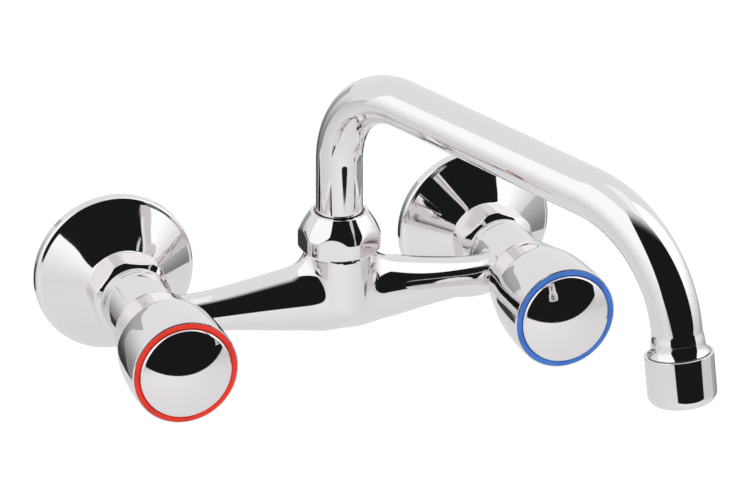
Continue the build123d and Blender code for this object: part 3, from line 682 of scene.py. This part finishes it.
def casting(points):
    """Distance field of arms and hub: negative inside.

    The arm's field is the ellipse's own value less one, over its slope. The hub is an upright
    cylinder, rounded underneath and cut flat on top. The fillet between them shrinks with the
    cosine of the angle between their faces, so that it vanishes where they run alongside.
    """
    x, y, z = points[..., 0], points[..., 1], points[..., 2]
    centre_y, centre_z, deep, tall = arm_section(x)
    out, up = (y - centre_y) / deep, (z - centre_z) / tall
    size = np.maximum(np.hypot(out, up), 1e-6)
    swell = math.pi / 2 / ARM_REACH * (ARM_MIDDLE_RADIUS - ARM_END_RADIUS) * np.sin(
        math.pi * np.clip(x / ARM_REACH, -1, 1)
    )
    slope = np.maximum(np.hypot(out / deep, up / tall), 1e-6)
    arms = (size - 1) * size / slope / np.sqrt(1 + swell**2)
    reach = np.maximum(np.hypot(x, y + SPOUT_DISTANCE), 1e-6)
    alike = np.abs(out / deep / slope * (y + SPOUT_DISTANCE) / reach)
    aside = reach - HUB_RADIUS + HUB_ROUND
    below = HUB_BOTTOM + HUB_ROUND - z
    hub = np.hypot(np.clip(aside, 0, None), np.clip(below, 0, None)) - HUB_ROUND
    hub += np.clip(np.maximum(aside, below), None, 0)
    fillet = HUB_BLEND * np.clip(1 - alike, 0.03, 1)
    return np.maximum(blend_union(arms, hub, fillet), z - HUB_SHOULDER)


def bridge_arms(rows=224, columns=192):
    """Arms, belly and hub as one grid.

    Rows follow x and columns go round the arm. Each point lies where a ray leaves the casting:
    the rays start on the arms' centre line, from its middle for the hub and square to it
    further out, and halving the interval finds the surface.
    """
    hub_zone, arm_zone, halvings = 14.0, 36.0, 36
    x = np.linspace(-ARM_REACH + BARREL_BLEND, ARM_REACH - BARREL_BLEND, rows)
    centre_y, centre_z, deep, tall = arm_section(x)
    share = np.clip((np.abs(x) - hub_zone) / (arm_zone - hub_zone), 0, 1)
    start_x = x * share**2 * (3 - 2 * share)
    start = np.column_stack([start_x, *arm_section(start_x)[:2]])[:, None, :]
    angle = np.linspace(0, 2 * math.pi, columns + 1)
    aim = np.stack(
        [
            np.broadcast_to(x[:, None], (rows, columns + 1)),
            centre_y[:, None] + deep[:, None] * np.cos(angle),
            centre_z[:, None] + tall[:, None] * np.sin(angle),
        ],
        axis=-1,
    )
    ray = aim - start
    ray /= np.linalg.norm(ray, axis=-1, keepdims=True)
    low = np.zeros((rows, columns + 1, 1))
    high = np.full((rows, columns + 1, 1), VALVE_PITCH / 2)
    for _ in range(halvings):
        middle = (low + high) / 2
        inside = casting(start + middle * ray)[..., None] < 0
        low = np.where(inside, middle, low)
        high = np.where(inside, high, middle)
    return start + low * ray


def arm_fillet(side, edge_row, count=12):
    """Fillet from the last row of an arm to its barrel, and a closing cap in the barrel's wall.

    For each angle round the arm a quadratic curve leaves the arm's end along the arm, has its
    control point where arm and barrel would meet, and ends on the barrel, level with it. No
    point goes past the barrel's front.
    """
    centre_y = -SPOUT_DISTANCE + ARM_BOW
    angle = np.arctan2(edge_row[:, 2], edge_row[:, 1] - centre_y)

    def on_barrel(radius, sink=0.0):
        z = radius * np.sin(angle)
        x = VALVE_PITCH / 2 - np.sqrt((BARREL_RADIUS - sink) ** 2 - z**2)
        y = np.maximum(centre_y + radius * np.cos(angle), -BARREL_FRONT + 0.1)
        return np.column_stack([side * x, y, z])

    corner = on_barrel(ARM_END_RADIUS)
    end = on_barrel(ARM_END_RADIUS + BARREL_BLEND)
    buried = on_barrel(ARM_END_RADIUS + BARREL_BLEND + 0.3, sink=0.4)
    t = np.linspace(0, 1, count)[1:, None, None]
    curve = (1 - t) ** 2 * edge_row + 2 * t * (1 - t) * corner + t**2 * end
    wall_middle = VALVE_PITCH / 2 - BARREL_RADIUS + 1.5
    pole = np.broadcast_to([side * wall_middle, centre_y, 0.0], buried.shape)
    return np.concatenate([curve, buried[None], pole[None]])


def bridge_barrel():
    """Outline of a barrel: a low collar behind, a plain run, the machined front and the seat."""
    return outline(
        (BARREL_INLET, BARREL_BACK),
        (BARREL_COLLAR - 0.7, BARREL_BACK, 0.3),
        (BARREL_COLLAR, BARREL_BACK + 0.7, 0.3),
        (BARREL_COLLAR, BARREL_BACK + 3.0, 1.2),
        (BARREL_RADIUS, BARREL_BACK + 5.5, 1.5),
        (BARREL_RADIUS, BARREL_FRONT - 0.6, 0.2),
        (BARREL_RADIUS - 0.6, BARREL_FRONT, 0.2),
        (BARREL_BORE, BARREL_FRONT),
        (BARREL_BORE, SEAT_FRONT),
        (SEAT_HOLE, SEAT_FRONT),
        (SEAT_HOLE, SEAT_BACK),
        (BARREL_INLET, SEAT_BACK),
    )


def hub_thread():
    """Outline of the threaded spigot on the hub, under the spout nut."""
    return outline(
        (HUB_BORE, HUB_THREAD_BOTTOM),
        (HUB_THREAD_RADIUS, HUB_THREAD_BOTTOM),
        (HUB_THREAD_RADIUS, HUB_THREAD_TOP, 0.3),
        (HUB_BORE, HUB_THREAD_TOP),
    )


arms = bridge_arms()
bridge = [np.concatenate([arm_fillet(-1, arms[0])[::-1], arms, arm_fillet(1, arms[-1])])]
bridge += [turned(bridge_barrel(), valve_place(side), 176) for side in SIDES]
bridge.append(turned(hub_thread(), spout_place(), 128))
skin("bridge", bridge, CAST_CHROME, "mixer_body", ["bridge_body"])


# ---- Spout nut --------------------------------------------------------------------------
def spout_nut():
    """Outline of the domed nut before its flats: a bulging cone over a chamfered foot."""
    bottom, shoulder, top = SPOUT_NUT_BOTTOM, SPOUT_NUT_SHOULDER, SPOUT_NUT_TOP
    drop = (NUT_CORNER - NUT_FACE) * math.tan(math.radians(NUT_CHAMFER))
    halfway, bulge = (NUT_CORNER + SPOUT_NUT_CROWN) / 2, 0.25
    cone = through([
        (NUT_CORNER, shoulder),
        (halfway + bulge, shoulder + (top - shoulder) / 2),
        (SPOUT_NUT_CROWN, top - 0.3),
    ])
    return outline(
        (SPOUT_NUT_THREAD, bottom),
        (NUT_FACE, bottom, 0.15),
        (NUT_CORNER, bottom + drop, 0.3),
        cone,
        (SPOUT_NUT_CROWN - 0.2, top, 0.3),
        (SPOUT_NUT_HOLE, top, 0.3),
        (SPOUT_NUT_HOLE, top - SPOUT_NUT_LIP),
        (SPOUT_NUT_RECESS, top - SPOUT_NUT_LIP),
        (SPOUT_NUT_RECESS, SPOUT_NUT_STEP),
        (SPOUT_NUT_THREAD, SPOUT_NUT_STEP),
        spacing=0.4,
    )


skin("domed_nut", [hexagonal(spout_nut(), spout_place(), SPOUT_NUT_TURN)], CAST_CHROME,
     "mixer_body", ["spout_nut"])


# ---- Spout ------------------------------------------------------------------------------
def spout_line(step=0.75):
    """Centre line of the tube, its directions, and the distance along it, in mm.

    Five runs in the spout's upright plane: up the riser, round the first bend, down the
    gentle slope, round the second bend, and straight on to the aerator. From a run's start
    to a point on it the chord is as long as the arc times the sinc of half the turn, and
    heads halfway between the two directions.
    """
    swing = math.radians(SPOUT_SWING)
    away = np.array([math.sin(swing), -math.cos(swing), 0.0])
    up = np.array([0.0, 0.0, 1.0])
    lengths = np.array([
        RISER_TOP - TUBE_START,
        FIRST_BEND * math.radians(90 + RUN_SLOPE),
        RUN_LENGTH,
        SECOND_BEND * math.radians(SECOND_TURN),
        TUBE_END,
    ])
    curving = np.array([0, 1 / FIRST_BEND, 0, 1 / SECOND_BEND, 0])
    knots = np.concatenate([[0], np.cumsum(lengths)])
    turns = np.concatenate([[0], np.cumsum(lengths * curving)])
    along = np.unique(np.concatenate([knots, np.arange(0, knots[-1], step)]))
    k = np.clip(np.searchsorted(knots, along, side="right") - 1, 0, len(lengths) - 1)
    into = along - knots[k]
    heading = turns[k] + into * curving[k]
    half = into * curving[k] / 2
    chord = into * np.sinc(half / math.pi)
    mean = turns[k] + half
    joints = np.zeros((len(knots), 2))
    whole = lengths * curving / 2
    step_out = lengths * np.sinc(whole / math.pi)
    joints[1:, 0] = np.cumsum(step_out * np.sin(turns[:-1] + whole))
    joints[1:, 1] = np.cumsum(step_out * np.cos(turns[:-1] + whole))
    out = joints[k, 0] + chord * np.sin(mean)
    rise = joints[k, 1] + chord * np.cos(mean)
    line = (0, -SPOUT_DISTANCE, TUBE_START) + out[:, None] * away + rise[:, None] * up
    direction = np.sin(heading)[:, None] * away + np.cos(heading)[:, None] * up
    return line, direction, along, np.cross(away, up)


def spout_tube(columns=144):
    """Tube round the centre line, opened out slightly over its last run and closed inside.

    Each row is a circle square to the line, and over the last run its radius grows along a
    smooth step. The tube stops just past the start of the end piece. A second ring next to
    its last one keeps the shading of the closed end off the tube's side.
    """
    line, direction, along, across = spout_line()
    from_lip = along - along[-1]
    flare = np.clip((from_lip + TUBE_END) / (TUBE_END + COLLAR_START), 0, 1)
    flare = flare * flare * (3 - 2 * flare)
    radius = TUBE_RADIUS + (TUBE_END_RADIUS - TUBE_RADIUS) * flare
    kept = from_lip <= COLLAR_START + 0.1
    line, direction, radius = line[kept], direction[kept], radius[kept]
    ring = line[-1:] + 0.05 * direction[-1:]
    line = np.vstack([line[:1], line, ring, ring])
    direction = np.vstack([direction[:1], direction, direction[-1:], direction[-1:]])
    radius = np.concatenate([[0], radius, radius[-1:], [0]])
    angle = np.linspace(0, 2 * math.pi, columns + 1)[None, :, None]
    inward = np.cross(direction, across)
    section = np.cos(angle) * across + np.sin(angle) * inward[:, None, :]
    return line[:, None, :] + radius[:, None, None] * section


def outlet_place():
    """Origin and directions of the outlet: its lip, across, behind, and along the flow."""
    line, direction, along, across = spout_line()
    return np.array([line[-1], across, np.cross(direction[-1], across), direction[-1]])


def aerator_collar():
    """Outline of the end piece: the flare above the lip, and the thread inside the housing."""
    flare = through(
        [(TUBE_END_RADIUS - 0.01, COLLAR_START), (9.8, COLLAR_START / 2), (COLLAR_LIP, -0.05)],
        spacing=0.25,
    )
    return outline(
        (COLLAR_BORE, COLLAR_BACK),
        (COLLAR_BORE + 0.55, COLLAR_BACK),
        (8.45, COLLAR_START - 0.3),
        (TUBE_END_RADIUS - 0.1, COLLAR_START - 0.3),
        flare,
        (COLLAR_THREAD, -0.05),
        (COLLAR_THREAD, COLLAR_FRONT),
        (COLLAR_BORE, COLLAR_FRONT),
    )


def aerator_housing():
    """Outline of the housing: thin lip above, plain side, large round below, and its cavity."""
    t = np.linspace(0, math.pi / 2, 16)
    middle = (HOUSING_RADIUS - HOUSING_EDGE, HOUSING_LENGTH - HOUSING_EDGE)
    round_edge = np.column_stack([np.cos(t), np.sin(t)]) * HOUSING_EDGE + middle
    return outline(
        (HOUSING_LIP, 0, 0.2),
        (HOUSING_RADIUS, 0, 0.3),
        round_edge,
        (HOUSING_MOUTH, HOUSING_LENGTH, 0.2),
        (HOUSING_MOUTH, HOUSING_LEDGE),
        (HOUSING_CHAMBER, HOUSING_LEDGE),
        (HOUSING_CHAMBER, COLLAR_FRONT),
        (HOUSING_THREAD, COLLAR_FRONT),
        (HOUSING_THREAD, HOUSING_LIP_DEPTH),
        (HOUSING_LIP, HOUSING_LIP_DEPTH),
        spacing=0.8,
    )


skin("spout_bend", [spout_tube()], TUBE_CHROME, "spout", ["spout_tube"])
skin("outlet_collar", [turned(aerator_collar(), outlet_place(), 192)], TUBE_CHROME, "spout",
     ["aerator_collar"])
skin("outlet_housing", [turned(aerator_housing(), outlet_place(), 256)], TUBE_CHROME, "spout",
     ["aerator_housing"])


# ---- Handles ----------------------------------------------------------------------------
def handle():
    """Outline of the handle: shoulder, cone, grip and front edge, then its two hollows.

    One curve through ten points runs over shoulder, cone and grip, a little finer than the CAD's.
    """
    back, front = HANDLE_BACK, HANDLE_FRONT
    cone_end = back + HANDLE_CONE
    grip = front - cone_end
    shell = through([
        (13.8, back + 0.15), (14.7, back + 0.45), (15.3, back + 0.95), (15.9, back + 2.2),
        (17.0, back + 7.3), (18.25, back + 13.2), (19.4, cone_end - 0.4),
        (20.2, cone_end + 0.36 * grip), (20.45, cone_end + 0.7 * grip), (20.3, front - 0.9),
    ])
    return outline(
        (HANDLE_MOUTH, back, 0.2),
        (13.65, back),
        shell,
        (20.2, front, 0.5),
        (RING_SEAT, front, 0.1),
        (RING_SEAT, RING_BACK),
        (CAP_SEAT, RING_BACK),
        (CAP_SEAT, WEB_FRONT),
        (SCREW_HOLE, WEB_FRONT),
        (SCREW_HOLE, WEB_BACK),
        (SPLINE_RADIUS, WEB_BACK),
        (SPLINE_RADIUS, SOCKET_BACK),
        (SOCKET_RADIUS, SOCKET_BACK),
        (SOCKET_RADIUS, WEB_BACK),
        (HANDLE_HOLLOW, WEB_BACK),
        (HANDLE_HOLLOW, cone_end),
        (13.9, back + 6.2),
        (HANDLE_MOUTH, back + 1.2),
    )


def index_ring():
    """Outline of the coloured ring, with its two front edges rounded."""
    return outline(
        (RING_HOLE, RING_BACK),
        (RING_RADIUS, RING_BACK),
        (RING_RADIUS, RING_FRONT, 0.35),
        (RING_HOLE, RING_FRONT, 0.35),
        spacing=0.6,
    )


def cap():
    """Outline of the domed cap: side, rounded edge and dome in front, a thin shell behind.

    The rounding meets the dome where both lean by the same angle.
    """
    middle = CAP_RADIUS - CAP_EDGE
    depth = RING_FRONT - CAP_SINK
    tilt = math.asin(middle / (DOME_RADIUS - CAP_EDGE))
    ball_depth = depth - (DOME_RADIUS - CAP_EDGE) * math.cos(tilt)
    t = np.linspace(0, math.pi / 2 - tilt, 14)
    edge = np.column_stack([middle + CAP_EDGE * np.cos(t), depth + CAP_EDGE * np.sin(t)])
    t = np.linspace(tilt, 0, 60)[1:]
    dome = np.column_stack([DOME_RADIUS * np.sin(t), ball_depth + DOME_RADIUS * np.cos(t)])
    r = np.linspace(0, CAP_HOLLOW, 24)
    inside = np.column_stack([r, ball_depth + np.sqrt((DOME_RADIUS - CAP_SHEET) ** 2 - r**2)])
    plug_end = RING_BACK - CAP_PLUG_LENGTH
    return outline(
        inside,
        (CAP_HOLLOW, plug_end),
        (CAP_PLUG, plug_end),
        (CAP_PLUG, RING_BACK),
        (CAP_RADIUS, RING_BACK),
        edge,
        dome,
    )


for side, colour, slot in (("hot", HOT_RED, "hot_red"), ("cold", COLD_BLUE, "cold_blue")):
    place = valve_place(side)
    body = f"{side}_handle"
    skin(f"{side}_grip", [turned(handle(), place, 288)], HANDLE_CHROME, body,
         [f"{side}_handle"])
    skin(f"{side}_ring", [turned(index_ring(), place)], colour, body,
         [f"{side}_index_ring"])
    skin(f"{side}_dome", [turned(cap(), place)], HANDLE_CHROME, body,
         [f"{side}_cap"])


# ---- Stage ------------------------------------------------------------------------------
# A chrome part shows little but its surroundings, so these follow what the photographed one
# mirrors: the unlit room in front, white walls to the left and right, a bright ceiling, dim
# strips low on both sides and behind, and a pale floor. Only reflections see the cards: they
# cast no shadow and light nothing. Places are in metres, and a brightness of 1 is white.
CEILING = 0.92
FLOOR_HEIGHT = -0.35
FLOOR_LIFT = 0.33
FLOOR_GLOSS_LIFT = 0.02
ROOM_LEFT = -0.92
ROOM_RIGHT = 1.19
ROOM_FRONT = -0.92
# The unlit room's lower edge is a shallow parabola, lowest in front of the mixer.
SILL_HEIGHT = -0.322
SILL_MIDDLE = 0.19
SILL_BEND = 0.27


def glowing(name, low, high, below, above):
    """Material of a card that glows by itself.

    Its brightness runs smoothly from `below` at the height `low` to `above` at `high`.
    """
    material = bpy.data.materials.new(name)
    material.use_nodes = True
    tree = material.node_tree
    tree.nodes.remove(tree.nodes["Principled BSDF"])
    place = add(tree, "ShaderNodeTexCoord")
    parts = add(tree, "ShaderNodeSeparateXYZ", [(0, place.outputs["Object"])])
    ramp = add(tree, "ShaderNodeMapRange", [("Value", parts.outputs["Z"])],
               interpolation_type="SMOOTHSTEP", From_Min=low, From_Max=high, To_Min=below,
               To_Max=above)
    glow = add(tree, "ShaderNodeEmission", [("Strength", ramp.outputs["Result"])])
    tree.links.new(glow.outputs[0], tree.nodes["Material Output"].inputs["Surface"])
    return material


def card(name, points, material):
    """Card from a grid of points in metres."""
    sheet = mesh_of(name, [points * 1000], material)
    sheet.visible_camera = False
    sheet.visible_diffuse = False
    sheet.visible_shadow = False


def upright_card(name, line, low, high, material):
    """Upright card over a line of (x, y) points, from one height to another.

    Each height is one number, or one for each point of the line.
    """
    line = np.array(line, float)
    edges = [np.broadcast_to(height, len(line)) for height in (low, high)]
    card(name, np.stack([np.column_stack([line, edge]) for edge in edges]), material)


across = np.linspace(ROOM_LEFT, ROOM_RIGHT, 48)
upright_card("room_front", np.column_stack([across, np.full(len(across), ROOM_FRONT)]),
             SILL_HEIGHT + SILL_BEND * (across - SILL_MIDDLE) ** 2, 3.4,
             glowing("unlit_room", 1.3, 2.7, 0.012, 0.7))
upright_card("wall_left", [(ROOM_LEFT, ROOM_FRONT), (-1.3, 0.45)], FLOOR_HEIGHT, 2.1,
             glowing("white_wall_left", FLOOR_HEIGHT, 0.5, 0.88, 1.22))
upright_card("wall_right", [(ROOM_RIGHT, ROOM_FRONT), (1.5, 0.45)], FLOOR_HEIGHT, 3.4,
             glowing("white_wall_right", FLOOR_HEIGHT, 0.6, 0.72, 1.3))
upright_card("strip_left", [(-0.65, 0.4), (-0.36, 0.585)], FLOOR_HEIGHT, 0.22,
             glowing("dim_strip_left", -0.22, 0.22, 0.28, 0.9))
upright_card("strip_behind", [(-0.36, 0.585), (-0.1, 0.75)], FLOOR_HEIGHT, 0.22,
             glowing("dim_strip_behind", -0.3, 0.2, 0.05, 0.5))
upright_card("strip_right", [(0.45, -0.19), (0.45, 0.25)], -0.2, -0.03,
             glowing("dim_strip_right", -0.2, -0.03, 0.26, 0.55))
ceiling = np.array([
    [(0.15, ROOM_FRONT, 3.6), (0.15, 1.2, 3.6)],
    [(1.6, -1.2, 3.4), (1.6, 1.2, 3.4)],
])
card("ceiling_right", ceiling, glowing("bright_ceiling", 3.0, 3.6, 1.1, 1.1))


def paper_floor():
    """Pale floor. The camera sees it lifted to white, the chrome less so; it keeps shadows.

    Its glow is the whole lift for camera and transmitted rays, and the small one for glossy.
    """
    material, tree, surface, _ = finish("matt_white_paper", "D9D9D9", 1.0)
    surface.inputs["Specular IOR Level"].default_value = 0.0
    path = add(tree, "ShaderNodeLightPath")
    clear = add(tree, "ShaderNodeMath",
                [(0, path.outputs["Is Camera Ray"]), (1, path.outputs["Is Transmission Ray"])],
                operation="MAXIMUM")
    white = add(tree, "ShaderNodeMath", [(0, clear.outputs[0])], operation="MULTIPLY")
    white.inputs[1].default_value = FLOOR_LIFT
    gloss = add(tree, "ShaderNodeMath",
                [(0, path.outputs["Is Glossy Ray"]), (2, white.outputs[0])],
                operation="MULTIPLY_ADD")
    gloss.inputs[1].default_value = FLOOR_GLOSS_LIFT
    surface.inputs["Emission Color"].default_value = (1, 1, 1, 1)
    tree.links.new(gloss.outputs[0], surface.inputs["Emission Strength"])
    return material


span = np.array([-5.0, 5.0]) * 1000
grid = np.stack(np.meshgrid(span, span), axis=-1)
level = np.full((2, 2), FLOOR_HEIGHT * 1000)
mesh_of("floor", [np.dstack([grid, level])], paper_floor())

# The world is white to the camera, and the ceiling's brightness to everything else.
world = bpy.data.worlds.new("studio")
bpy.context.scene.world = world
world.use_nodes = True
sky = world.node_tree
path = add(sky, "ShaderNodeLightPath")
strength = add(sky, "ShaderNodeMapRange", [("Value", path.outputs["Is Camera Ray"])],
               To_Min=CEILING, To_Max=1.0)
sky.nodes["Background"].inputs["Color"].default_value = (1, 1, 1, 1)
sky.links.new(strength.outputs["Result"], sky.nodes["Background"].inputs["Strength"])


def softbox(name, place, aim, size, power):
    """Soft square lamp, aimed at a point, with its size in metres and its power in watts.

    The cards carry the reflections, so the chrome doesn't mirror it.
    """
    lamp = bpy.data.lights.new(name, "AREA")
    lamp.size = size
    lamp.energy = power
    box = bpy.data.objects.new(name, lamp)
    box.location = place
    box.rotation_euler = (Vector(aim) - Vector(place)).to_track_quat("-Z", "Y").to_euler()
    box.visible_glossy = False
    box.visible_camera = False
    bpy.context.scene.collection.objects.link(box)


softbox("front_lamp", (-0.3, -1.3, 0.9), (0, -0.08, 0.02), 0.8, 9)
softbox("top_lamp", (0.2, -0.1, 1.6), (0, -0.05, 0), 1.2, 6)

bpy.context.scene.view_settings.view_transform = "Standard"
